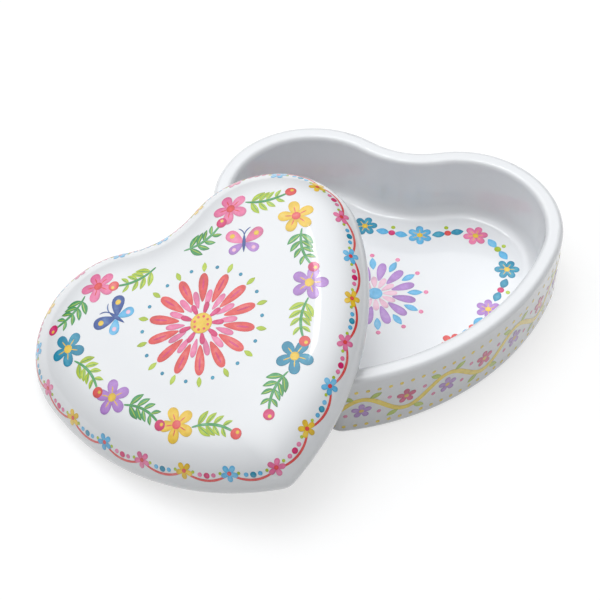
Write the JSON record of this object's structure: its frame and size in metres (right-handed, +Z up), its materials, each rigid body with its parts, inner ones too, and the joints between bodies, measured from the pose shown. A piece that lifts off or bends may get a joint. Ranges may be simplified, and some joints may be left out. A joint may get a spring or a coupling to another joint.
{
  "type": "trinket box",
  "caption": "Heart-shaped glazed porcelain trinket box: a shallow coved base and a domed lift-off lid with a locating rib, lid leaning on the rim.",
  "frame": {"origin": "on the base's flat foot, below the middle of the line through the centres of the heart's lobes", "axes": "+Z up out of the open base, -Y towards the heart's tip, +X to the right of the notch seen from the tip"},
  "size_m": [0.1511, 0.1385, 0.0481],
  "materials": {
    "glazed_porcelain": "high gloss"
  },
  "bodies": {
    "base": {"box_base": "glazed_porcelain"},
    "lid": {"box_lid": "glazed_porcelain"}
  },
  "joints": [
    {"name": "lid_lift", "type": "slide", "parent": "base", "child": "lid", "axis": [0, 0, 1], "range_m": [0, 0.08]}
  ]
}
